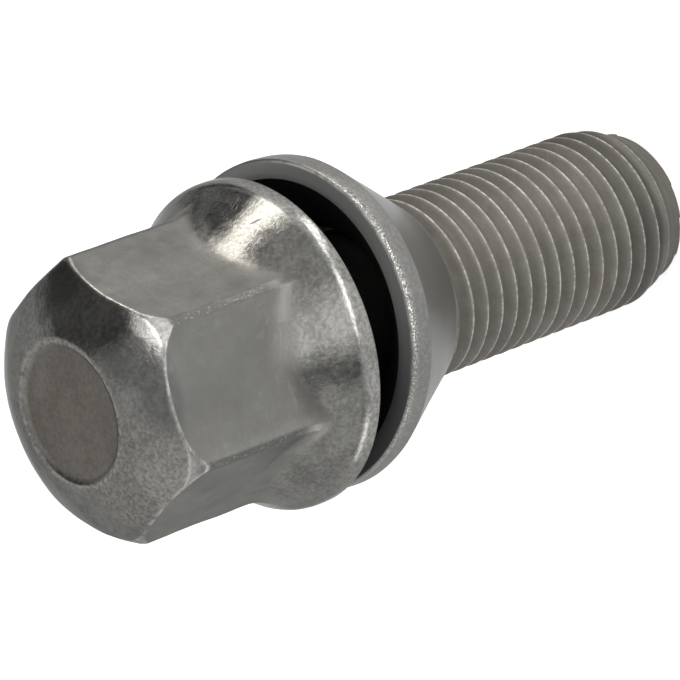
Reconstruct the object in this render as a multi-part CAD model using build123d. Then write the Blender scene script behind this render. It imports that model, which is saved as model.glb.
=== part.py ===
from build123d import *
import math
import os

os.makedirs("parts", exist_ok=True)

# Wheel bolt with a captive loose conical collar. Millimetres, +Z up.
# The bolt stands on the flat end of its thread, on the Z axis, with the hex head up.

# Bolt
overall_len = 56.3        # threaded end to the end of the head
thread_d = 14.0           # M14 x 1.5, right hand, drawn at its outside diameter
tip_face_d = 11.1         # flat end of the thread
tip_chamfer_len = 3.0     # long lead chamfer
run_out_len = 0.4         # taper from the thread to the neck
neck_fillet = 0.8         # root of the neck under the flange
head_len = 18.85          # flange back to the end of the head
flange_d = 25.0           # round flange under the hexagon
flange_rim_len = 0.6      # straight band of the flange's edge
flange_back_edge = 0.3    # rounding behind that band
flange_front_edge = 2.0   # rounding in front of it
flare_angle = 31.5        # flare of the flange, from the bolt's axis
flare_root = 4.0          # hollow rounding from the flare into the hexagon
flare_bury = 0.2          # how far that rounding starts inside the flats
hex_across_flats = 19.0
hex_corner_round = 0.65
crown_face_d = 11.3       # round end face of the head
crown_drop_flat = 1.88    # end face to the crown's edge at mid flat
crown_drop_corner = 3.2   # end face to the crown's edge at a corner
dish_lip = 0.6            # raised ring round the end face
dish_depth = 0.25         # the end face lies this far inside the ring

# Collar
collar_d = 25.04
collar_rim_len = 1.84     # straight band of the collar's edge
cone_half_angle = 30.0    # 60 degree seat
collar_front_land = 1.52  # flat ring that meets the flange
collar_edge = 0.6         # rounding of the front edge
collar_back_edge = 0.3    # rounding between the band and the cone
collar_end_wall = 0.555   # wall at the small end
collar_end_edge = 0.15    # rounding at the small end
bore_land_len = 5.6       # cylinder that runs on the neck
bore_land_height = 2.9    # middle of that cylinder above the small end
bore_catch = 0.25         # bore is this much smaller than the thread, on radius
collar_tilt = 7.7         # the loose collar rests askew
collar_lean = -49.5       # direction of the lean, from +X towards +Y

# Clearances
bore_clearance = 0.2      # neck to the tilted bore, on radius
flange_clearance = 0.15   # flange back to the collar's nearest edge
thread_clearance = 0.4    # collar's lowest inner edge to the thread
end_relief = 0.35         # small end's opening over the thread, on radius


def near(shape, x, y):
    """The corner of a flat shape that is nearest to (x, y)."""
    return shape.vertices().sort_by_distance((x, y, 0))[0]


def turned(face):
    """A section drawn as radius and height, turned about the Z axis."""
    return revolve(Plane.XZ * face, Axis.Z)


# Collar in its own frame: +Z towards the head, the middle of the bore land at the origin
thread_r = thread_d / 2
collar_r = collar_d / 2
cone_slope = math.tan(math.radians(cone_half_angle))
bore_r = thread_r - bore_catch
end_in_r = thread_r + end_relief
end_out_r = end_in_r + collar_end_wall
end_w = -bore_land_height
rim_w = end_w + (collar_r - end_out_r) / cone_slope
front_w = rim_w + collar_rim_len
land_w = bore_land_len / 2
hollow_r = collar_r - collar_front_land

collar_section = make_face(
    Polyline(
        (bore_r, -land_w),
        (end_in_r, end_w),
        (end_out_r, end_w),
        (collar_r, rim_w),
        (collar_r, front_w),
        (hollow_r, front_w),
        (bore_r, land_w),
        close=True,
    )
)
collar_section = fillet(near(collar_section, collar_r, front_w), collar_edge)
collar_section = fillet(near(collar_section, collar_r, rim_w), collar_back_edge)
collar_section = fillet(near(collar_section, end_out_r, end_w), collar_end_edge)
collar_body = turned(collar_section)

# The collar's place on the bolt: its front edge almost meets the flange on one side
tilt = math.radians(collar_tilt)
flange_back_z = overall_len - head_len
front_reach = front_w * math.cos(tilt) + collar_r * math.sin(tilt)
pivot_z = flange_back_z - flange_clearance - front_reach
lean_line = (
    math.cos(math.radians(collar_lean + 90)),
    math.sin(math.radians(collar_lean + 90)),
    0,
)
collar = collar_body.rotate(Axis((0, 0, 0), lean_line), collar_tilt).translate((0, 0, pivot_z))

# Bolt: thread, neck and flange turned in one section
tip_r = tip_face_d / 2
neck_r = bore_r * math.cos(tilt) - land_w * math.sin(tilt) - bore_clearance
collar_low_z = pivot_z + end_w * math.cos(tilt) - end_in_r * math.sin(tilt)
thread_top_z = collar_low_z - thread_clearance
flange_r = flange_d / 2
flat_r = hex_across_flats / 2
head_top_z = overall_len
flare = math.radians(flare_angle)

rim_low_z = flange_back_z + flange_back_edge
rim_high_z = rim_low_z + flange_rim_len
front_arc_r = flange_r - flange_front_edge * (1 - math.cos(flare))
front_arc_z = rim_high_z + flange_front_edge * math.sin(flare)
front_mid_r = flange_r - flange_front_edge * (1 - math.cos(flare / 2))
front_mid_z = rim_high_z + flange_front_edge * math.sin(flare / 2)
root_r = flat_r - flare_bury
root_arc_r = root_r + flare_root * (1 - math.cos(flare))
root_arc_z = front_arc_z + (front_arc_r - root_arc_r) / math.tan(flare)
root_z = root_arc_z + flare_root * math.sin(flare)
root_mid_r = root_r + flare_root * (1 - math.cos(flare / 2))
root_mid_z = root_z - flare_root * math.sin(flare / 2)
core_top_z = head_top_z - crown_drop_corner

neck_bend = neck_fillet * (1 - math.sqrt(0.5))
back_bend = flange_back_edge * (1 - math.sqrt(0.5))
shank_line = [
    Polyline(
        (0, core_top_z),
        (0, 0),
        (tip_r, 0),
        (thread_r, tip_chamfer_len),
        (thread_r, thread_top_z),
        (neck_r, thread_top_z + run_out_len),
        (neck_r, flange_back_z - neck_fillet),
    ),
    ThreePointArc(
        (neck_r, flange_back_z - neck_fillet),
        (neck_r + neck_bend, flange_back_z - neck_bend),
        (neck_r + neck_fillet, flange_back_z),
    ),
    Line((neck_r + neck_fillet, flange_back_z), (flange_r - flange_back_edge, flange_back_z)),
    ThreePointArc(
        (flange_r - flange_back_edge, flange_back_z),
        (flange_r - back_bend, flange_back_z + back_bend),
        (flange_r, rim_low_z),
    ),
    Line((flange_r, rim_low_z), (flange_r, rim_high_z)),
    ThreePointArc((flange_r, rim_high_z), (front_mid_r, front_mid_z), (front_arc_r, front_arc_z)),
    Line((front_arc_r, front_arc_z), (root_arc_r, root_arc_z)),
    ThreePointArc((root_arc_r, root_arc_z), (root_mid_r, root_mid_z), (root_r, root_z)),
    Polyline((root_r, root_z), (root_r, core_top_z), (0, core_top_z)),
]
shank = turned(make_face(shank_line))

# Hexagon with rounded corners, cut to the domed crown
corner_r = flat_r / math.cos(math.radians(30))
hexagon = RegularPolygon(corner_r, 6)
hexagon = fillet(hexagon.vertices(), hex_corner_round)
hex_low_z = front_arc_z
prism = Pos(0, 0, hex_low_z) * extrude(hexagon, head_top_z - hex_low_z)

crown_r = crown_face_d / 2
dome_line = [
    Polyline((crown_r, head_top_z), (0, head_top_z), (0, hex_low_z - 1)),
    Polyline((0, hex_low_z - 1), (corner_r, hex_low_z - 1), (corner_r, head_top_z - crown_drop_corner)),
    ThreePointArc(
        (corner_r, head_top_z - crown_drop_corner),
        (flat_r, head_top_z - crown_drop_flat),
        (crown_r, head_top_z),
    ),
]
dome = turned(make_face(dome_line))
head = prism & dome

# Shallow dished end face inside its ring
dish_r = crown_r - dish_lip
dish = turned(
    make_face(
        Polyline(
            (0, head_top_z - dish_depth),
            (dish_r - dish_depth, head_top_z - dish_depth),
            (dish_r + dish_depth, head_top_z + dish_depth),
            (0, head_top_z + dish_depth),
            close=True,
        )
    )
)

bolt = shank + head - dish

export_step(bolt, "parts/bolt.step")
export_step(collar, "parts/collar.step")
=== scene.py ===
import bpy
import numpy as np
from mathutils import Matrix, Vector


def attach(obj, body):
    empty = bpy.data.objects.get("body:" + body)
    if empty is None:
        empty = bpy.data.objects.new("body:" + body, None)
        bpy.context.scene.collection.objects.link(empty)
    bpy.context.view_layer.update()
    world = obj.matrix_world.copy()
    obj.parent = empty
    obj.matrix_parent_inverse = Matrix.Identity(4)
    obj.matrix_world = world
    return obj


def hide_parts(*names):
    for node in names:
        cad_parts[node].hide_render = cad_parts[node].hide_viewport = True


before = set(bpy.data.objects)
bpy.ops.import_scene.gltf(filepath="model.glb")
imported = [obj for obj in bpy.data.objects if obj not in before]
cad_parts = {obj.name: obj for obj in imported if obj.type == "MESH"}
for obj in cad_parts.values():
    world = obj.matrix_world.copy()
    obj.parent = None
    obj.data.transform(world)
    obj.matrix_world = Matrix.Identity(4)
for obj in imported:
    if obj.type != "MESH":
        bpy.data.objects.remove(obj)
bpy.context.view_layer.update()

MM = 0.001

# Sizes of the bolt in millimetres, from the part's source
LENGTH = 56.3               # threaded end to the end of the head
HEAD = 18.85                # flange back to the end of the head
BACK_Z = LENGTH - HEAD      # height of the flange's back
FLANGE_R = 12.495           # a hair inside the source's flange
RIM_BACK_ROUND = 0.3
RIM_BAND = 0.6
RIM_FRONT_ROUND = 2.0
FLARE = np.radians(31.5)    # flare of the flange, from the bolt's axis
HEX_FLAT = 9.5              # middle of a flat, from the axis
HEX_CORNER = 10.97          # sharp corner of the hexagon, from the axis
CROWN_FACE = 5.65           # end face, from the axis
CROWN_DROP_FLAT = 1.88      # end face to the crown's edge at mid flat
CROWN_DROP_CORNER = 3.2     # end face to the crown's edge at a corner
DISH_DEPTH = 0.25
NECK_R = 6.114
NECK_FILLET = 0.8
THREAD_R = 7.0
TIP_R = 5.55
TIP_CHAMFER = 3.0

# Sizes of the collar in its own frame: the middle of its bore is the origin, its axis points to the head
COLLAR_R = 12.52
COLLAR_BAND = 1.84          # straight band of its edge
COLLAR_BACK_ROUND = 0.3     # rounding between the band and the cone
COLLAR_HALF_ANGLE = np.radians(30)
COLLAR_TAPER = np.tan(COLLAR_HALF_ANGLE)
COLLAR_END = -2.9           # height of the small end
COLLAR_END_OUT = 7.905
COLLAR_END_IN = 7.35
COLLAR_BORE = 6.75
COLLAR_LAND = 2.8           # half the length of the bore
COLLAR_HOLLOW = 11.0        # inner edge of the front ring
COLLAR_RIM = COLLAR_END + (COLLAR_R - COLLAR_END_OUT) / COLLAR_TAPER
COLLAR_FRONT = COLLAR_RIM + COLLAR_BAND

# The collar's place on the neck
FLANGE_GAP = 0.15           # flange back to the collar's nearest edge
COLLAR_TILT = np.radians(7.7)
COLLAR_LEAN = np.radians(-49.5)
COLLAR_REACH = COLLAR_FRONT * np.cos(COLLAR_TILT) + COLLAR_R * np.sin(COLLAR_TILT)
COLLAR_PIVOT = BACK_Z - FLANGE_GAP - COLLAR_REACH

# Forms that this script adds to the source's, or draws more finely
PITCH = 1.5                 # right-hand thread
CREST_Z = 24.98             # height of a crest at +X
CREST_HALF = 0.075          # half the flat on a crest
CREST_OVER = 0.055          # the flanks start this far above the crest, before it is rounded
CREST_ROUND = 0.09
THREAD_FLANK = np.radians(30)
THREAD_ROOT = 6.14
ROOT_ROUND = 0.40
LEAD_ROUND = 0.45           # where the thread fades into the lead chamfer
THREAD_TOP = 24.5           # start of the run-out
THREAD_FADE = 24.95         # end of the run-out, on the neck
CORNER_CUT = 10.80          # narrow flats along the hexagon's corners, from the axis
FACET_DEPTH = 0.27          # small facets on the crown's corners
FACET_HALF = 5.6            # half the width of such a facet, in degrees
CROWN_ROUND = 0.06          # edge between crown and flats
FACET_ROUND = 0.08
CROWN_ROWS_END = 3.75       # below the end face, past the hexagon's corners
FLATS_START = 4.0           # below the end face
FLATS_END = 46.2            # height of the last row that is all flats
FLARE_START = 46.0          # height of the first row of the flare
FLARE_BLEND = 0.90          # hollow between flats and flare
DISH_FOOT = 4.75            # where the wall of the dished end face starts
DISH_TOP = 5.40             # where it ends
DISH_SAG = 0.03             # the dish is this much deeper in its middle
COLLAR_LIP = 12.45          # sharp front edge of the collar
COLLAR_LIP_ROUND = 0.22
OUTER_SKIN = 0.45           # what lies less than this inside the collar's outline is outside

# Places of wear, of painted shade and of painted highlight, in degrees from +X towards +Y: start, full, fade
# and end
RIGHT_FLAT = (-120.0, -112.0, -62.0, -57.0)
UPPER_FLAT = (-62.0, -57.0, -30.0, -18.0)
COLLAR_EDGE_WEAR_AND_GLINT = (-110.0, -94.0, -48.0, -22.0)
COLLAR_EDGE_WEAR_AND_GLINT_LOW = (-175.0, -150.0, -110.0, -94.0)
COLLAR_LIP_WEAR_AND_GLINT = (-125.0, -60.0, -25.0, 5.0)

# Places of wear and of painted highlight that fade evenly, in degrees: middle and width
SHARP_CORNER = (0.0, 20.0)      # corner with hardly any facet
FACET_WEAR_AND_HIGHLIGHT_CORNER = (-60.0, 12.0)     # corner whose facet is the barest
POLISHED_FLARE = (-32.0, 24.0)
CREST_HIGHLIGHT_SIDE = (-38.0, 26.0)


def smoothstep(a, b, x):
    """0 below a, 1 above b, and 3t^2 - 2t^3 in between."""
    t = np.clip((x - a) / (b - a), 0, 1)
    return t * t * (3 - 2 * t)


def window(x, start, full, fade, end):
    """0 outside start to end, 1 from full to fade, with soft sides."""
    return smoothstep(start, full, x) * (1 - smoothstep(fade, end, x))


def bell(x, centre, width):
    """1 at the centre, falling on both sides as a bell curve of that width."""
    return np.exp(-(((x - centre) / width) ** 2))


def soft_min(a, b, k):
    """The smaller of a and b, with the corner rounded over a width of k."""
    h = np.clip(0.5 + 0.5 * (b - a) / k, 0, 1)
    return b + (a - b) * h - k * h * (1 - h)


def soft_max(a, b, k):
    """The larger of a and b, with the corner rounded over a width of k."""
    return -soft_min(-a, -b, k)


def ripple(x, y, z, wavelength, seed, waves=14):
    """Smooth unevenness: the mean of plane sine waves in fixed random directions, near one wavelength."""
    rng = np.random.default_rng(seed)
    way = rng.normal(size=(waves, 3))
    way /= np.linalg.norm(way, axis=1, keepdims=True)
    way *= (2 * np.pi / wavelength * rng.uniform(0.6, 1.6, waves))[:, None]
    turn = rng.uniform(0, 2 * np.pi, waves)
    total = np.zeros(np.broadcast(x, y, z).shape)
    for (a, b, c), t in zip(way, turn):
        total += np.sin(a * x + b * y + c * z + t)
    return total / np.sqrt(waves / 2)


def section(radius, height):
    """Rows of a section from radii and heights; either may be one number."""
    return np.stack(np.broadcast_arrays(radius, height), 1)


def arc(centre, radius, start, end, count):
    """Rows of a section on a circle from one angle to another, in radians."""
    a = np.linspace(start, end, count)
    return section(centre[0] + radius * np.cos(a), centre[1] + radius * np.sin(a))


def circle_through(p, q, s):
    """Centre and radius of the circle through three points of a section."""
    p, q, s = (np.array(v, float) for v in (p, q, s))
    rows = 2 * np.array([q - p, s - p])
    centre = np.linalg.solve(rows, [q @ q - p @ p, s @ s - p @ p])
    return centre, np.linalg.norm(p - centre)


def degrees_round(angle):
    """An angle in radians as degrees from -180 to 180."""
    return np.degrees((angle + np.pi) % (2 * np.pi) - np.pi)


def turned(r, angle, z):
    """Points of a grid given as radius, angle and height about the axis."""
    return np.stack([r * np.cos(angle), r * np.sin(angle), z], -1).reshape(-1, 3)


def grid_triangles(rows, columns, shift=0):
    """Two triangles per cell of a grid whose last column meets the first, that many rows higher."""
    j, i = np.meshgrid(np.arange(rows - 1), np.arange(columns), indexing="ij")
    over = (i + 1) // columns * shift
    k = (i + 1) % columns
    inside = (j + over + 1 < rows) & (j + over >= 0)
    low, high = j * columns + i, (j + 1) * columns + i
    low_next, high_next = (j + over) * columns + k, (j + over + 1) * columns + k
    first = np.stack([low, low_next, high_next], -1)[inside]
    second = np.stack([low, high_next, high], -1)[inside]
    return np.concatenate([first, second])


def weld(points, triangles, layers):
    """Merges points that coincide and drops the triangles that this flattens."""
    key = np.round(points, 5)
    _, first, where = np.unique(key, axis=0, return_index=True, return_inverse=True)
    t = where.reshape(-1)[triangles]
    whole = (t[:, 0] != t[:, 1]) & (t[:, 1] != t[:, 2]) & (t[:, 2] != t[:, 0])
    return points[first], t[whole], {k: v[first] for k, v in layers.items()}


def surface(name, points, triangles, layers, material, body, node, slot):
    """A smooth closed mesh from arrays in millimetres, with its marks as point attributes."""
    p, t, layers = weld(points, triangles, layers)
    a, b, c = p[t[:, 0]], p[t[:, 1]], p[t[:, 2]]
    if np.einsum("ij,ij->i", a, np.cross(b, c)).sum() < 0:
        t = t[:, ::-1]
    mesh = bpy.data.meshes.new(name)
    mesh.vertices.add(len(p))
    mesh.vertices.foreach_set("co", (p * MM).astype(np.float32).ravel())
    mesh.loops.add(t.size)
    mesh.loops.foreach_set("vertex_index", t.astype(np.int32).ravel())
    mesh.polygons.add(len(t))
    mesh.polygons.foreach_set("loop_start", np.arange(0, t.size, 3, dtype=np.int32))
    mesh.polygons.foreach_set("use_smooth", np.ones(len(t), bool))
    mesh.update(calc_edges=True)
    for key, values in layers.items():
        layer = mesh.attributes.new(key, "FLOAT", "POINT")
        layer.data.foreach_set("value", values.astype(np.float32))
    mesh.validate()
    mesh.materials.append(material)
    piece = bpy.data.objects.new(name, mesh)
    bpy.context.scene.collection.objects.link(piece)
    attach(piece, body)
    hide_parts(node)


# Bolt


def bolt_columns():
    """Angles round the bolt, closer together at the hexagon's six corners."""
    near_corner = [0, 0.35, 0.7, 1.05, 1.4, 1.8, 2.3, 3, 4, 5.3, 6.8, 8.5]
    to_mid_flat = [10.4, 12.5, 14.8, 17.2, 19.7, 22.2, 24.7, 27.3, 30]
    half = np.array(near_corner + to_mid_flat)
    sector = np.concatenate([half, 60 - half[-2:0:-1]])
    return np.radians((sector[None, :] + 60 * np.arange(6)[:, None]).ravel())


def hexagon(angle):
    """Radius of a hexagon with narrow flats along its corners: at each angle, the nearest side's distance
    from the axis over the cosine of the angle off that side."""
    from_corner = np.abs((angle + np.pi / 6) % (np.pi / 3) - np.pi / 6)
    side = HEX_FLAT / np.cos(np.pi / 6 - from_corner)
    return soft_min(side, CORNER_CUT / np.cos(from_corner), 0.05)


def end_face_rows():
    """Rows of the dished end face, from its middle over its wall to the ring round it."""
    floor = [0.0, 0.8, 1.6, 2.4, 3.2, 3.9, 4.4, 4.7, 4.82, 4.92]
    wall = np.append(5.0 + 0.07 * np.arange(7), 5.53)
    r = np.append(floor, wall)
    sag = DISH_SAG * smoothstep(0, 4.6, r) * (r < DISH_FOOT)
    z = LENGTH - DISH_DEPTH + DISH_DEPTH * smoothstep(DISH_FOOT, DISH_TOP, r) + sag
    return section(r, np.minimum(z, LENGTH))


def crown_rows():
    """Rows of the domed crown, on one circle: closer together where it meets the flats, and ending just
    below the hexagon's corners."""
    mid_flat = (HEX_FLAT, LENGTH - CROWN_DROP_FLAT)
    corner = (HEX_CORNER, LENGTH - CROWN_DROP_CORNER)
    centre, radius = circle_through((CROWN_FACE, LENGTH), mid_flat, corner)
    start = np.arctan2(LENGTH - centre[1], CROWN_FACE - centre[0])
    low = LENGTH - CROWN_ROWS_END - centre[1]
    end = np.arctan2(low, np.sqrt(radius**2 - low**2))
    share = np.concatenate([np.linspace(0, 0.62, 24), np.linspace(0.62, 1, 56)[1:]])
    turn = start + (end - start) * share
    return section(centre[0] + radius * np.cos(turn), centre[1] + radius * np.sin(turn))


def flange_rows():
    """Rows of the flare and the flange's round front edge, and then of its band, back, neck root and neck."""
    rim_top = BACK_Z + RIM_BACK_ROUND + RIM_BAND
    front = arc((FLANGE_R - RIM_FRONT_ROUND, rim_top), RIM_FRONT_ROUND, FLARE, 0, 16)
    flare_z = np.linspace(FLARE_START, front[0, 1], 52)[:-1]
    flare = section(front[0, 0] - (flare_z - front[0, 1]) * np.tan(FLARE), flare_z)
    band = section([FLANGE_R], rim_top - 0.3)
    rim_centre = (FLANGE_R - RIM_BACK_ROUND, BACK_Z + RIM_BACK_ROUND)
    back_edge = arc(rim_centre, RIM_BACK_ROUND, 0, -np.pi / 2, 6)
    back = section([11.4, 10.2, 8.6], BACK_Z)
    root = arc((NECK_R + NECK_FILLET, BACK_Z - NECK_FILLET), NECK_FILLET, np.pi / 2, np.pi, 6)
    neck = section(NECK_R, [34.0, 30.5, 27.5, THREAD_FADE])
    return np.concatenate([flare, front]), np.concatenate([band, back_edge, back, root, neck])


def forging(r, z, angle):
    """How far the forged head lies inside its true form: three ripples added up, and none on the end face,
    the rim and the shank."""
    x, y = r * np.cos(angle), r * np.sin(angle)
    uneven = 0.020 * (1 + ripple(x, y, z, wavelength=6.0, seed=3))
    uneven += 0.007 * (1 + ripple(x, y, z, wavelength=2.2, seed=5))
    on_crown = smoothstep(LENGTH - 4.2, LENGTH - 2.4, z)
    uneven += on_crown * 0.016 * (1 + ripple(x, y, z, wavelength=3.1, seed=9))
    on_head = smoothstep(38.0, 40.5, z) * smoothstep(CROWN_FACE, CROWN_FACE + 0.5, r)
    return np.clip(uneven, 0, None) * on_head


def bolt_head(angle):
    """Grid of the head and its marks. The crown is the soft minimum of a dome, the hexagon and, for the
    facets, their mean less a cut. The flare is the soft maximum of a cone and the hexagon. The rest is
    round."""
    hexa = hexagon(angle)[None, :]
    top = np.concatenate([end_face_rows(), crown_rows()])
    flats_z = np.linspace(LENGTH - FLATS_START, FLATS_END, 20)
    flare, rest = flange_rows()
    dome_r, cone_r = top[:, :1], flare[:, :1]
    way = degrees_round(angle)[None, :]
    corner = np.abs((np.degrees(angle) + 30) % 60 - 30)[None, :]
    cut = 0.015 + FACET_DEPTH * (1 - 0.8 * bell(way, *SHARP_CORNER)) * bell(corner, 0.0, FACET_HALF)
    r_top = soft_min(soft_min(dome_r, hexa, CROWN_ROUND), (dome_r + hexa) / 2 - cut, FACET_ROUND)
    r_flats = np.repeat(hexa, len(flats_z), 0)
    r_flare = soft_max(hexa, cone_r, FLARE_BLEND)
    r_rest = np.repeat(rest[:, :1], len(angle), 1)
    r = np.concatenate([r_top, r_flats, r_flare, r_rest])
    z = np.concatenate([top[:, 1], flats_z, flare[:, 1], rest[:, 1]])[:, None] + 0 * r
    r = r - forging(r, z, angle)

    on_top = slice(0, len(top))
    on_flare = slice(len(top) + len(flats_z), len(top) + len(flats_z) + len(flare))
    below = slice(on_flare.stop, None)
    # How far a row is from the fold between crown and flats, and how far the flare stands over the flats
    from_fold = np.abs(dome_r - hexa)
    over_flat = cone_r - hexa + 0.05
    right_flat, upper_flat = window(way, *RIGHT_FLAT), window(way, *UPPER_FLAT)
    marks = {key: np.zeros_like(r) for key in ("edge", "facet", "bright", "root")}
    marks["edge"][on_top] = bell(from_fold, 2 * cut, 0.10)
    in_facet = 1 - smoothstep(2 * cut - 0.12, 2 * cut - 0.02, from_fold)
    # Facets are pale, partly bare and partly a painted highlight, most of all on one corner
    bare = 0.30 + 0.70 * bell(way, *FACET_WEAR_AND_HIGHLIGHT_CORNER)
    marks["facet"][on_top] = in_facet * smoothstep(0.06, 0.12, cut) * bare
    marks["bright"][on_top] = 1 - smoothstep(-0.3, 0.1, dome_r - hexa)
    marks["bright"][on_flare] = smoothstep(0, 0.95, over_flat + 0.7 * bell(way, *POLISHED_FLARE))
    marks["bright"][below] = 1
    # Painted shade in the hollow where two of the flats run into the flare
    marks["root"][on_flare] = bell(over_flat, 0.0, 0.55) * (right_flat + 0.90 * upper_flat)
    # The flats get a darker coat, and the right flat more of it as painted shade
    marks["coat"] = (1 - marks["bright"]) * (0.30 + 0.43 * right_flat)
    along = window(z, 42.2, 44.0, LENGTH - 3.4, LENGTH - 2.8)
    marks["side_edge"] = np.exp(-((corner / 1.9) ** 6)) * along
    on_end = z > LENGTH - 0.5
    marks["ring"] = bell(r, 5.45, 0.16) * on_end
    marks["dish"] = (1 - smoothstep(4.9, 5.3, r)) * on_end
    marks["rim"] = (1 - smoothstep(BACK_Z + 0.9, BACK_Z + 1.7, z)) * (z > BACK_Z) * (r > 11.8)
    return r, z, marks


def thread_radius(z, angle):
    """Metric thread: 30 degree flanks with rounded crests and roots, cut by the lead chamfer and the run-out.
    Gives the radius and the distance from the nearest crest along the axis."""
    side = (z - CREST_Z - PITCH * angle / (2 * np.pi)) / PITCH
    side = (side - np.round(side)) * PITCH
    flank = THREAD_R + CREST_OVER - np.maximum(np.abs(side) - CREST_HALF, 0) / np.tan(THREAD_FLANK)
    r = soft_min(soft_max(flank, THREAD_ROOT, ROOT_ROUND), THREAD_R, CREST_ROUND)
    lead = TIP_R + (THREAD_R - TIP_R) * z / TIP_CHAMFER
    r = soft_min(r, lead, LEAD_ROUND)
    fade = THREAD_R + (NECK_R - THREAD_R) * smoothstep(THREAD_TOP - 0.35, THREAD_FADE, z)
    deep = THREAD_ROOT - 0.3
    fill = deep + (NECK_R - deep) * smoothstep(THREAD_TOP - 0.8, THREAD_FADE, z)
    r = np.maximum(np.minimum(r, fade), fill)
    return np.where(z <= 1e-6, TIP_R, r), side


def bolt_thread(angle):
    """Grid of the thread and its marks: each row runs along the helix at one place of the profile, and
    stops at the two ends. Also gives the number of rows in one turn."""
    half = np.array([0.07, 0.14, 0.27, 0.42, 0.56])
    place = np.concatenate([[-0.66], -half[::-1], [0.0], half])
    turns = np.arange(-19, 3)
    offset = (turns[:, None] * PITCH + place[None, :]).ravel()
    z = CREST_Z + offset[:, None] + PITCH * angle[None, :] / (2 * np.pi)
    z = np.clip(z, 0.0, THREAD_FADE)
    r, side = thread_radius(z, angle[None, :])
    full = window(z, 0.8, 2.6, 24.2, 25.0)
    # Bare crests, with a painted highlight that is strongest on one side of the thread
    worn = 0.75 + 0.75 * bell(degrees_round(angle), *CREST_HIGHLIGHT_SIDE)
    crest = bell(side, 0.0, np.where(side > 0, 0.05, 0.10)) * full * worn
    # Painted shade down in the roots of the groove
    shade = smoothstep(0.38, 0.58, np.abs(side)) * full
    return r, z, {"crest": crest, "shade": shade}, len(place)


def bolt_arrays():
    """The whole bolt as one skin: the head's grid, the thread's sheared grid and the flat end's rings."""
    angle = bolt_columns()
    head_r, head_z, head_marks = bolt_head(angle)
    thread_r, thread_z, thread_marks, rows_per_turn = bolt_thread(angle)
    end_r = np.array([TIP_R, 5.0, 4.0, 2.6, 1.3, 0.0])[:, None] + 0 * angle
    grids = [(head_r, head_z), (thread_r, thread_z), (end_r, 0 * end_r)]
    points = np.concatenate([turned(r, angle, z) for r, z in grids])
    head = grid_triangles(len(head_r), len(angle))[:, ::-1]
    thread = grid_triangles(len(thread_r), len(angle), shift=rows_per_turn)
    end = grid_triangles(len(end_r), len(angle))[:, ::-1]
    triangles = np.concatenate([head, thread + head_r.size, end + head_r.size + thread_r.size])
    layers = {}
    for part, marks in enumerate((head_marks, thread_marks)):
        for key, mark in marks.items():
            pieces = [np.zeros(r.size) for r, z in grids]
            pieces[part] = mark.ravel()
            layers[key] = np.concatenate(pieces)
    return points, triangles, layers


# Collar


def collar_rows():
    """Section of the collar, once round: lip, band, cone, small end, bore, hollow and front ring."""
    lip_centre = (COLLAR_LIP - COLLAR_LIP_ROUND, COLLAR_FRONT - COLLAR_LIP_ROUND)
    lip = arc(lip_centre, COLLAR_LIP_ROUND, np.pi / 2, 0, 6)
    fall = np.array([0.30, 0.42, 0.58, 0.76, 1.0, 1.3])
    bulge = (COLLAR_R - COLLAR_LIP) * smoothstep(0.1, 0.9, fall)
    band = section(COLLAR_LIP + bulge, COLLAR_FRONT - fall)
    back_z = COLLAR_RIM + COLLAR_BACK_ROUND * np.tan(COLLAR_HALF_ANGLE / 2)
    back = arc((COLLAR_R - COLLAR_BACK_ROUND, back_z), COLLAR_BACK_ROUND, 0, -COLLAR_HALF_ANGLE, 6)
    w = np.append(np.linspace(back[-1, 1], COLLAR_END + 0.40, 24)[1:], COLLAR_END + 0.16)
    cone = section(COLLAR_R - (COLLAR_RIM - w) * COLLAR_TAPER, w)
    end_r = [COLLAR_END_OUT - 0.02, COLLAR_END_OUT - 0.1, COLLAR_END_IN]
    end = section(end_r, [COLLAR_END + 0.06, COLLAR_END, COLLAR_END])
    bore = section(COLLAR_BORE, np.linspace(-COLLAR_LAND, COLLAR_LAND, 6))
    h = np.linspace(COLLAR_LAND, COLLAR_FRONT - 0.05, 12)[1:]
    opening = (h - COLLAR_LAND) / (COLLAR_FRONT - COLLAR_LAND)
    hollow = section(COLLAR_BORE + (COLLAR_HOLLOW - COLLAR_BORE) * opening, h)
    ring = section([COLLAR_HOLLOW + 0.03, 11.45, 11.85, 12.12], COLLAR_FRONT)
    return np.concatenate([lip, band, back, cone, end, bore, hollow, ring, lip[:1]])


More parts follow.
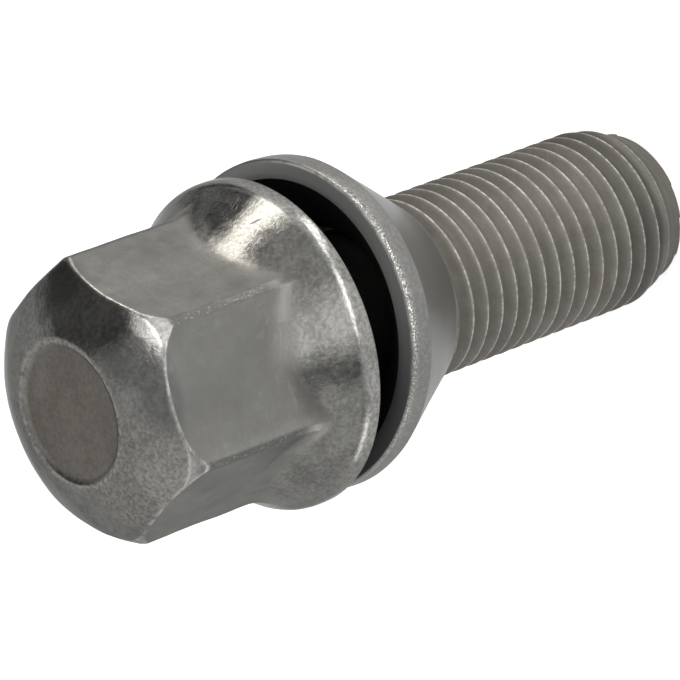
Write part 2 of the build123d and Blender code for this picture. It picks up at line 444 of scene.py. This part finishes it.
def collar_arrays():
    """The collar: its section turned about its own axis, then leant over and set on the neck."""
    rows = collar_rows()
    angle = np.radians(np.arange(0, 360, 1.5))
    r = rows[:, :1] + 0 * angle
    w = rows[:, 1:] + 0 * angle
    outline = COLLAR_R - (COLLAR_RIM - np.minimum(w, COLLAR_RIM)) * COLLAR_TAPER
    outside = outline - r < OUTER_SKIN
    skin = outside * smoothstep(COLLAR_END + 0.5, COLLAR_END + 2.0, w) * (w < COLLAR_FRONT - 0.4)
    uneven = 0.010 * (1 + ripple(r * np.cos(angle), r * np.sin(angle), w, wavelength=5.0, seed=21))
    r = r - np.clip(uneven, 0, None) * skin
    line = Vector((np.cos(COLLAR_LEAN + np.pi / 2), np.sin(COLLAR_LEAN + np.pi / 2), 0))
    lean = np.array(Matrix.Rotation(COLLAR_TILT, 3, line))
    points = turned(r, angle, w) @ lean.T
    points[:, 2] += COLLAR_PIVOT

    way = degrees_round(angle)
    # Where the front edge sparkles: partly wear, partly a painted highlight
    worn = 0.08 + 0.92 * window(way, *COLLAR_EDGE_WEAR_AND_GLINT) + 0.30 * window(way, *COLLAR_EDGE_WEAR_AND_GLINT_LOW)
    on_front = w > COLLAR_FRONT - 0.02
    # Painted shade on the front ring: darkest on one side, paler towards the others
    lit = 0.73 * smoothstep(-122.0, -72.0, way) + 0.27 * smoothstep(-50.0, 10.0, way)
    # A pale line just inside the lip: partly wear, partly a painted highlight
    lip = bell(r, COLLAR_LIP - 0.18, 0.08) * (w > COLLAR_FRONT - 0.10)
    marks = {
        "edge": bell(w, COLLAR_FRONT - COLLAR_LIP_ROUND, 0.27) * (r > 12.25) * worn,
        "lip": lip * window(way, *COLLAR_LIP_WEAR_AND_GLINT),
        "small_end": (1 - smoothstep(0.20, 0.50, w - COLLAR_END)) * outside,
        "band": smoothstep(COLLAR_RIM - 0.25, COLLAR_RIM + 0.15, w) * (r > 12.0) * ~on_front,
        "hollow": ~outside * ~on_front,
        "ring": on_front * (r < COLLAR_LIP),
        "ring_painted_shade": lit * (1 - smoothstep(100.0, 175.0, way)) + 0 * r,
    }
    layers = {key: mark.ravel() + 0.0 for key, mark in marks.items()}
    return points, grid_triangles(len(rows), len(angle)), layers


# Finishes

# The bolt's colours, and the tones they are spread over
COAT_COLOURS = [
    (0.36, (0.152, 0.149, 0.140)),
    (0.50, (0.202, 0.200, 0.188)),
    (0.64, (0.252, 0.249, 0.235)),
]
END_FACE_COLOURS = [(0.36, (0.164, 0.152, 0.134)), (0.64, (0.220, 0.206, 0.185))]
THREAD_COLOURS = [(0.36, (0.142, 0.133, 0.117)), (0.64, (0.203, 0.193, 0.172))]
SPECKLE_COLOURS = [(0.38, (0.150, 0.144, 0.134)), (0.62, (0.320, 0.309, 0.285))]
FLAT_COAT_AND_SHADE = (0.125, 0.124, 0.117)
WARM_CREASE_SHADE = (0.113, 0.104, 0.095)
CROWN_PAINTED_SHADE = (0.050, 0.051, 0.054)
PAINTED_ROOT_SHADE = (0.050, 0.047, 0.041)
LAST_TURNS = (0.062, 0.058, 0.051)
BARE_CREST_AND_HIGHLIGHT = (0.58, 0.57, 0.54)
CORNER_COAT = (0.075, 0.074, 0.070)
WORN_COAT = (0.42, 0.41, 0.385)
EDGE_WEAR_AND_HIGHLIGHT = (0.50, 0.49, 0.465)
FACET_WEAR_AND_HIGHLIGHT = (0.66, 0.65, 0.62)
SCRATCHED_COAT = (0.36, 0.35, 0.33)
GOUGE_DARK = (0.05, 0.048, 0.043)

# The collar's colours
CONE_COLOURS = [(0.32, (0.226, 0.225, 0.215)), (0.68, (0.275, 0.273, 0.262))]
FRONT_RING_SHADE_COLOURS = [(0.0, (0.063, 0.065, 0.065)), (1.0, (0.180, 0.182, 0.173))]
BAND_COAT = (0.170, 0.169, 0.162)
BAND_SPECKS = (0.25, 0.247, 0.236)
BARE_EDGE_AND_HIGHLIGHT = (0.72, 0.70, 0.66)
SMALL_END_HIGHLIGHT = (0.62, 0.61, 0.58)
BARE_LIP_AND_HIGHLIGHT = (0.62, 0.60, 0.56)
HOLLOW_PAINTED_SHADE = (0.012, 0.012, 0.012)

# Scratches: how a noise is stretched and turned, for each of three directions
SCRATCH_WAYS = [
    ((500, 9000, 700), (0.5, 0.3, 0.7)),
    ((8000, 420, 900), (0.2, 0.9, 0.1)),
    ((700, 600, 9500), (0.7, 0.2, 0.4)),
]


class Finish:
    """A material's node tree with short names for its maker's steps."""

    def __init__(self, name):
        self.material = bpy.data.materials.new(name)
        self.material.use_nodes = True
        self.tree = self.material.node_tree
        self.shader = self.tree.nodes["Principled BSDF"]
        self.place = self.add("ShaderNodeTexCoord").outputs["Object"]

    def add(self, kind, **settings):
        """A new node with its settings."""
        node = self.tree.nodes.new(kind)
        for key, value in settings.items():
            setattr(node, key, value)
        return node

    def put(self, socket, value):
        """Links another node's result to a socket, or sets a number on it."""
        if isinstance(value, bpy.types.NodeSocket):
            self.tree.links.new(value, socket)
        else:
            socket.default_value = value

    def mark(self, name):
        """One of the piece's marks, from its point attribute."""
        return self.add("ShaderNodeAttribute", attribute_name=name).outputs["Fac"]

    def math(self, kind, a, b=0.0, c=0.0):
        """One step of arithmetic."""
        node = self.add("ShaderNodeMath", operation=kind)
        for socket, value in zip(node.inputs, (a, b, c)):
            self.put(socket, value)
        return node.outputs[0]

    def times(self, first, *others):
        """Product of several values."""
        for other in others:
            first = self.math("MULTIPLY", first, other)
        return first

    def total(self, *terms):
        """Sum of values, each given with its share."""
        result = 0.0
        for share, value in terms:
            result = self.math("MULTIPLY_ADD", value, share, result)
        return result

    def stretch(self, scale, turn):
        """The piece's coordinates, stretched and turned."""
        node = self.add("ShaderNodeMapping")
        self.put(node.inputs["Vector"], self.place)
        node.inputs["Scale"].default_value = scale
        node.inputs["Rotation"].default_value = turn
        return node.outputs[0]

    def noise(self, scale, detail, rough, twist=0.0, place=None):
        """Cloudy noise from 0 to 1; scale counts its clouds per metre."""
        node = self.add("ShaderNodeTexNoise")
        self.put(node.inputs["Vector"], place or self.place)
        for key, value in (("Scale", scale), ("Detail", detail), ("Roughness", rough), ("Distortion", twist)):
            node.inputs[key].default_value = value
        return node.outputs["Fac"]

    def spot(self, centre, along, half):
        """1 in the middle of a long spot, falling to 0 at its rim; sizes in millimetres."""
        way = Vector(along).normalized()
        node = self.add("ShaderNodeMapping", vector_type="TEXTURE")
        self.put(node.inputs["Vector"], self.place)
        node.inputs["Location"].default_value = Vector(centre) * MM
        node.inputs["Rotation"].default_value = way.to_track_quat("X", "Z").to_euler()
        node.inputs["Scale"].default_value = Vector((half[0], half[1], half[1])) * MM
        ball = self.add("ShaderNodeTexGradient", gradient_type="SPHERICAL")
        self.put(ball.inputs["Vector"], node.outputs[0])
        return self.level(ball.outputs["Fac"], 0.0, 0.5)

    def level(self, value, low, high, out_low=0.0, out_high=1.0):
        """Smooth step from one number at low to another at high."""
        node = self.add("ShaderNodeMapRange", interpolation_type="SMOOTHSTEP")
        for socket, item in zip(node.inputs, (value, low, high, out_low, out_high)):
            self.put(socket, item)
        return node.outputs[0]

    def ramp(self, value, stops):
        """Colours spread over a value."""
        node = self.add("ShaderNodeValToRGB")
        self.put(node.inputs["Fac"], value)
        band = node.color_ramp
        while len(band.elements) < len(stops):
            band.elements.new(0.5)
        for element, (at, colour) in zip(band.elements, stops):
            element.position = at
            element.color = (*colour, 1)
        return node.outputs["Color"]

    def mix(self, share, a, b):
        """Colour a with a share of colour b."""
        node = self.add("ShaderNodeMix", data_type="RGBA")
        self.put(node.inputs["Factor"], share)
        for key, value in (("A", a), ("B", b)):
            socket = [s for s in node.inputs if s.name == key and s.type == "RGBA"][0]
            self.put(socket, (*value, 1) if isinstance(value, tuple) else value)
        return [s for s in node.outputs if s.type == "RGBA"][0]

    def blend(self, share, a, b):
        """Number a with a share of number b."""
        node = self.add("ShaderNodeMix", data_type="FLOAT")
        self.put(node.inputs["Factor"], share)
        self.put(node.inputs["A"], a)
        self.put(node.inputs["B"], b)
        return node.outputs["Result"]

    def bump(self, height, distance, strength, under=None):
        """A surface roughened by a height, over another one if given; distance in metres."""
        node = self.add("ShaderNodeBump")
        self.put(node.inputs["Height"], height)
        node.inputs["Distance"].default_value = distance
        node.inputs["Strength"].default_value = strength
        if under is not None:
            self.put(node.inputs["Normal"], under)
        return node.outputs[0]


def head_colour(f, tone, patch, speck, bright, dish):
    """Grey coat, darker on the flats and with painted shade on the right flat, a warm painted shade where
    two flats meet the flare, painted shade and speckled places on the crown, and a browner end face."""
    colour = f.ramp(tone, COAT_COLOURS)
    # Darker coat on the flats, with painted shade on the right flat
    colour = f.mix(f.mark("coat"), colour, FLAT_COAT_AND_SHADE)
    # A faint warm painted shade in the hollow where two of the flats run into the flare
    colour = f.mix(f.times(f.mark("root"), 0.65), colour, WARM_CREASE_SHADE)
    # Painted shade darkens one corner of the crown, near the end face and beside the right flat
    corner = f.spot(centre=(9.4, -0.7, 54.4), along=(-3.8, -3.7, 1.8), half=(2.6, 2.2))
    inner = f.spot(centre=(3.6, -6.85, 55.4), along=(-2.4, -1.7, 0.0), half=(3.4, 2.3))
    beside = f.spot(centre=(0.7, -8.8, 54.8), along=(-4.5, 0.0, 0.3), half=(4.6, 2.0))
    dark = f.math("MAXIMUM", f.total((0.45, corner), (0.55, inner)), f.times(beside, 0.50))
    colour = f.mix(f.times(dark, f.level(patch, 0.35, 0.60, 0.55, 1.0)), colour, CROWN_PAINTED_SHADE)
    # On one side of the crown the coat is worn to a fine dark and pale speckle
    worn_side = f.spot(centre=(-5.2, -5.0, 55.3), along=(-2.0, 1.0, 0.0), half=(6.5, 5.0))
    colour = f.mix(f.times(worn_side, bright, 0.55), colour, f.ramp(speck, SPECKLE_COLOURS))
    # The end face is browner
    return f.mix(dish, colour, f.ramp(tone, END_FACE_COLOURS))


def thread_colour(f, colour, tone, height, threaded, crest):
    """The thread is browner, with painted shade in its roots, most of all in the last turns, and bare bright
    crests with a painted highlight.
    """
    colour = f.mix(threaded, colour, f.ramp(tone, THREAD_COLOURS))
    last = f.level(height, 0.0085, 0.0042)
    # Painted shade in the roots, stronger in the last turns
    shade = f.times(f.mark("shade"), f.math("MULTIPLY_ADD", last, 0.30, 0.48))
    colour = f.mix(shade, colour, PAINTED_ROOT_SHADE)
    colour = f.mix(f.times(last, f.level(height, 0.0021, 0.0030, 0.28, 0.45)), colour, LAST_TURNS)
    # Bare crests, with a painted highlight
    return f.mix(crest, colour, BARE_CREST_AND_HIGHLIGHT)


def wear_and_highlight_colour(f, colour, patch, speck, grain, ring):
    """Edges are paler where the coat has gone, and carry a painted highlight; the hexagon's corners are dark
    with pale specks; the crown's facets are pale, partly bare and partly a painted highlight.
    """
    side_edge = f.mark("side_edge")
    colour = f.mix(f.times(side_edge, 0.85), colour, CORNER_COAT)
    side = f.times(side_edge, f.level(grain, 0.56, 0.66, 0.0, 0.35))
    rim = f.times(f.mark("rim"), f.level(speck, 0.42, 0.66, 0.05, 0.40))
    worn = f.math("MAXIMUM", f.math("MAXIMUM", side, ring), rim)
    colour = f.mix(worn, colour, WORN_COAT)
    # Pale crown edges: worn coat with a painted highlight on it
    edge = f.times(f.mark("edge"), f.level(patch, 0.34, 0.60, 0.10, 0.80))
    colour = f.mix(edge, colour, EDGE_WEAR_AND_HIGHLIGHT)
    # Pale facets: partly bare metal, partly a painted highlight
    facet = f.times(f.mark("facet"), f.level(patch, 0.35, 0.60, 0.45, 1.0))
    return f.mix(facet, colour, FACET_WEAR_AND_HIGHLIGHT)


def scratches(f, broad, threaded):
    """Short fine scratches in three directions, in patches, none on the thread."""
    lines = 0.0
    for scale, turn in SCRATCH_WAYS:
        strokes = f.noise(1.0, detail=2, rough=0.5, place=f.stretch(scale, turn))
        lines = f.math("MAXIMUM", f.level(strokes, 0.62, 0.70), lines)
    plain = f.math("SUBTRACT", 1.0, threaded)
    return f.times(lines, plain, f.level(broad, 0.45, 0.60, 0.15, 1.0))


def bolt_steel():
    """Coated forged steel: mottled grey with pale edges, worn and with a painted highlight, a dull brown
    thread with painted shade in its roots and bright crests with a painted highlight, and a dull end face."""
    f = Finish("bolt_steel")
    broad = f.noise(260, detail=3, rough=0.5)
    patch = f.noise(900, detail=6, rough=0.6, twist=0.3)
    mottle = f.noise(1900, detail=5, rough=0.6, twist=0.2)
    speck = f.noise(3600, detail=4, rough=0.7)
    grain = f.noise(6500, detail=3, rough=0.6)
    bright, dish = f.mark("bright"), f.mark("dish")
    ring = f.times(f.mark("ring"), f.level(speck, 0.40, 0.62, 0.05, 0.60))
    split = f.add("ShaderNodeSeparateXYZ")
    f.put(split.inputs[0], f.place)
    height = split.outputs["Z"]
    threaded = f.level(height, 0.0262, 0.0252)
    broken = f.times(f.level(speck, 0.40, 0.60, 0.30, 1.0), f.level(patch, 0.36, 0.60, 0.35, 1.0))
    crest = f.times(f.mark("crest"), broken)
    lines = scratches(f, broad, threaded)
    # The crown and the flange are coarser and more mirror-like than the flats
    tone = f.total((0.40, broad), (0.35, patch), (0.25, speck))
    coarse = f.math("SUBTRACT", f.total((0.6, speck), (0.4, mottle)), 0.5)
    tone = f.math("MULTIPLY_ADD", coarse, bright, tone)
    colour = head_colour(f, tone, patch, speck, bright, dish)
    colour = thread_colour(f, colour, tone, height, threaded, crest)
    colour = wear_and_highlight_colour(f, colour, patch, speck, grain, ring)
    colour = f.mix(f.times(lines, 0.12), colour, SCRATCHED_COAT)
    # One short dark gouge on the flare
    gouge = f.spot(centre=(9.65, -6.25, 40.60), along=(0.26, -0.82, -1.09), half=(0.75, 0.11))
    colour = f.mix(gouge, colour, GOUGE_DARK)
    f.put(f.shader.inputs["Base Color"], colour)
    f.put(f.shader.inputs["Metallic"], f.blend(threaded, 0.92, 0.45))
    f.shader.inputs["Specular Tint"].default_value = (0.5, 0.5, 0.5, 1)
    rough = f.blend(bright, 0.36, f.level(mottle, 0.3, 0.7, 0.12, 0.22))
    rough = f.blend(ring, rough, 0.26)
    rough = f.blend(dish, rough, 0.58)
    rough = f.blend(threaded, rough, f.blend(crest, 0.55, 0.35))
    f.put(f.shader.inputs["Roughness"], rough)
    dents = f.bump(patch, distance=0.00008, strength=0.25)
    fine = f.total((0.45, grain), (0.55, speck), (-0.14, lines))
    f.put(f.shader.inputs["Normal"], f.bump(fine, distance=0.00003, strength=0.50, under=dents))
    return f.material


def collar_steel():
    """Coated turned steel: a smooth matt cone, a coarse band, a sparkling lip that is worn and carries a
    painted highlight, a pale band painted at the small end as a highlight, a dull front ring with painted
    shade on one side, and a hollow painted dark as shade."""
    f = Finish("collar_steel")
    broad = f.noise(220, detail=3, rough=0.5)
    patch = f.noise(1100, detail=5, rough=0.6, twist=0.2)
    speck = f.noise(3600, detail=4, rough=0.7)
    grain = f.noise(6500, detail=3, rough=0.6)
    band, ring, hollow = f.mark("band"), f.mark("ring"), f.mark("hollow")
    front_edge = f.mark("edge")
    colour = f.ramp(f.total((0.7, broad), (0.3, patch)), CONE_COLOURS)
    colour = f.mix(band, colour, BAND_COAT)
    colour = f.mix(f.times(band, f.level(speck, 0.40, 0.66, 0.0, 0.7)), colour, BAND_SPECKS)
    # Sparkle on the front edge: partly worn coat, partly a painted highlight
    edge = f.times(front_edge, f.level(grain, 0.49, 0.59))
    colour = f.mix(edge, colour, BARE_EDGE_AND_HIGHLIGHT)
    # A pale band painted at the small end as a highlight
    colour = f.mix(f.mark("small_end"), colour, SMALL_END_HIGHLIGHT)
    # The front ring's painted shade, darker on one side
    colour = f.mix(ring, colour, f.ramp(f.mark("ring_painted_shade"), FRONT_RING_SHADE_COLOURS))
    # Pale line inside the lip: partly worn coat, partly a painted highlight
    lip = f.times(f.mark("lip"), f.level(patch, 0.35, 0.60, 0.30, 1.0))
    colour = f.mix(lip, colour, BARE_LIP_AND_HIGHLIGHT)
    # The hollow is painted near black as shade
    colour = f.mix(hollow, colour, HOLLOW_PAINTED_SHADE)
    f.put(f.shader.inputs["Base Color"], colour)
    f.put(f.shader.inputs["Metallic"], f.blend(ring, 1.0, 0.2))
    f.shader.inputs["Specular Tint"].default_value = (0.8, 0.8, 0.8, 1)
    rough = f.blend(band, 0.31, 0.42)
    rough = f.blend(edge, rough, 0.24)
    rough = f.blend(hollow, rough, 0.8)
    f.put(f.shader.inputs["Roughness"], rough)
    rugged = f.total((2.2, front_edge), (0.25, band))
    height = f.times(f.math("ADD", speck, grain), rugged)
    f.put(f.shader.inputs["Normal"], f.bump(height, distance=0.00004, strength=0.6))
    return f.material


surface("bolt_skin", *bolt_arrays(), bolt_steel(), "bolt", "bolt", "bolt_steel")
surface("collar_skin", *collar_arrays(), collar_steel(), "collar", "collar", "collar_steel")


# Floor, light and camera, in metres

FLOOR_HALF = 1.5
MID_PART = Vector((0, 0, 0.032))
MID_FLANGE = Vector((0, 0, 0.039))
WARM_WHITE = (1.0, 0.97, 0.91)
WORLD_STRENGTH = 0.72

# How much of its own white the floor adds for each kind of ray
FLOOR_WHITE = [("Is Camera Ray", 0.50), ("Is Glossy Ray", 0.16), ("Is Transmission Ray", 0.16)]


def white_floor():
    """White floor: matt for light and shadow, with its own white added where eye and reflections look."""
    material = bpy.data.materials.new("white_floor")
    material.use_nodes = True
    tree = material.node_tree
    tree.nodes.remove(tree.nodes["Principled BSDF"])
    matt = tree.nodes.new("ShaderNodeBsdfDiffuse")
    matt.inputs["Color"].default_value = (0.9, 0.9, 0.9, 1)
    glow = tree.nodes.new("ShaderNodeEmission")
    glow.inputs["Color"].default_value = (1, 1, 1, 1)
    path = tree.nodes.new("ShaderNodeLightPath")
    strength = None
    for ray, share in FLOOR_WHITE:
        step = tree.nodes.new("ShaderNodeMath")
        step.operation = "MULTIPLY_ADD"
        tree.links.new(path.outputs[ray], step.inputs[0])
        step.inputs[1].default_value = share
        step.inputs[2].default_value = 0.0
        if strength is not None:
            tree.links.new(strength, step.inputs[2])
        strength = step.outputs[0]
    tree.links.new(strength, glow.inputs["Strength"])
    both = tree.nodes.new("ShaderNodeAddShader")
    tree.links.new(matt.outputs[0], both.inputs[0])
    tree.links.new(glow.outputs[0], both.inputs[1])
    tree.links.new(both.outputs[0], tree.nodes["Material Output"].inputs["Surface"])
    return material


def flat_sheet(name, width, height, material):
    """A flat rectangle about the origin, in the scene."""
    x, y = width / 2, height / 2
    mesh = bpy.data.meshes.new(name)
    mesh.from_pydata([(-x, -y, 0), (x, -y, 0), (x, y, 0), (-x, y, 0)], [], [(0, 1, 2, 3)])
    mesh.materials.append(material)
    sheet = bpy.data.objects.new(name, mesh)
    bpy.context.scene.collection.objects.link(sheet)
    return sheet


def area_lamp(name, width, height, brightness, colour):
    """A rectangular lamp; brightness is that of its face."""
    data = bpy.data.lights.new(name, "AREA")
    data.color = colour
    data.shape = "RECTANGLE"
    data.size, data.size_y = width, height
    data.energy = brightness * np.pi * width * height
    lamp = bpy.data.objects.new(name, data)
    lamp.rotation_mode = "QUATERNION"
    bpy.context.scene.collection.objects.link(lamp)
    return lamp


def soft_lamp(name, way, distance, width, height, brightness):
    """A lamp that faces the part from one direction."""
    lamp = area_lamp(name, width, height, brightness, (1, 1, 1))
    way = Vector(way).normalized()
    lamp.location = MID_PART + way * distance
    lamp.rotation_quaternion = way.to_track_quat("Z", "Y")


def strip_lamp(name, start, end, width, brightness, colour=(1, 1, 1)):
    """A long narrow lamp from one point to another, facing the flange."""
    start, end = Vector(start), Vector(end)
    along = end - start
    lamp = area_lamp(name, along.length, width, brightness, colour)
    lamp.location = (start + end) / 2
    x = along.normalized()
    z = lamp.location - MID_FLANGE
    z = (z - x * z.dot(x)).normalized()
    lamp.rotation_quaternion = Matrix((x, z.cross(x), z)).transposed().to_quaternion()
    lamp.visible_camera = False


def dark_card(name, centre, facing, width, height, shade=0.10):
    """A dark matt card that keeps one side of the reflections dark."""
    material = bpy.data.materials.new(name)
    material.use_nodes = True
    shader = material.node_tree.nodes["Principled BSDF"]
    shader.inputs["Base Color"].default_value = (shade, shade, shade, 1)
    shader.inputs["Roughness"].default_value = 0.9
    card = flat_sheet(name, width, height, material)
    card.location = centre
    card.rotation_mode = "QUATERNION"
    card.rotation_quaternion = Vector(facing).to_track_quat("Z", "Y")
    card.visible_camera = False
    return card


flat_sheet("floor", 2 * FLOOR_HALF, 2 * FLOOR_HALF, white_floor())

# Strip lamps stand close to the part, soft lamps further off
strip_lamp(
    "lamp_left",
    (0.150, 0.0005, 0.012),
    (0.150, 0.0005, 0.088),
    width=0.047,
    brightness=6.8,
    colour=WARM_WHITE,
)
soft_lamp("lamp_front", (0.507, -0.396, 0.766), 0.50, width=0.23, height=0.23, brightness=4.4)
near_end = (0.0392, -0.042, 0.0151)
mid_start = (0.0373, -0.0553, 0.0175)
mid_end = (0.031, -0.100, 0.0255)
strip_lamp("lamp_strip_near", (0.0432, -0.0124, 0.0098), near_end, width=0.007, brightness=5.5)
strip_lamp("lamp_strip_mid", mid_start, mid_end, width=0.015, brightness=5.5)
strip_lamp("lamp_strip_far", mid_end, (-0.0271, -0.2409, 0.0324), width=0.027, brightness=4.5)
strip_lamp("lamp_strip_low", (-0.080, -0.060, 0.010), (-0.110, -0.015, 0.014), width=0.020, brightness=2.5)
soft_lamp("lamp_behind_camera", (0.110, -0.899, 0.423), 0.75, width=0.38, height=0.70, brightness=0.70)
soft_lamp("lamp_behind_wide", (0.215, -0.880, 0.423), 0.75, width=0.58, height=0.70, brightness=0.42)
soft_lamp("lamp_below", (-0.740, -0.270, 0.616), 0.70, width=0.90, height=0.75, brightness=0.24)

# The camera doesn't see these cards
dark_card("dark_card", (0.478, 0.244, 0.355), (0.770, 0.393, 0.500), width=1.00, height=1.00)
dark_card(
    "dark_side_card",
    (-0.244, -0.500, 0.257),
    (-0.406, -0.833, 0.375),
    width=0.17,
    height=0.28,
    shade=0.30,
)
floor_card = dark_card("dark_floor_card", (0.153, 0.129, 0.002), (0, 0, 1), width=0.16, height=0.16)
floor_card.visible_shadow = False
floor_card.visible_diffuse = False

world = bpy.data.worlds.new("studio")
world.use_nodes = True
background = world.node_tree.nodes["Background"]
background.inputs["Color"].default_value = (1, 1, 1, 1)
background.inputs["Strength"].default_value = WORLD_STRENGTH
bpy.context.scene.world = world
bpy.context.scene.view_settings.view_transform = "Standard"

# The camera's place and lens, from the fit to the thread
camera = bpy.data.cameras.new("camera")
camera.sensor_width = 36
camera.lens = 346.335
camera.clip_start, camera.clip_end = 0.01, 20
right = (-0.23703, -0.63864, -0.73209)
up = (0.96069, -0.04194, -0.27445)
back = (0.14457, -0.76836, 0.62348)
eye = bpy.data.objects.new("camera", camera)
eye.rotation_mode = "QUATERNION"
eye.rotation_quaternion = Matrix((right, up, back)).transposed().to_quaternion()
eye.location = (0.067939, -0.370774, 0.331430)
bpy.context.scene.collection.objects.link(eye)
bpy.context.scene.camera = eye

bpy.context.view_layer.update()
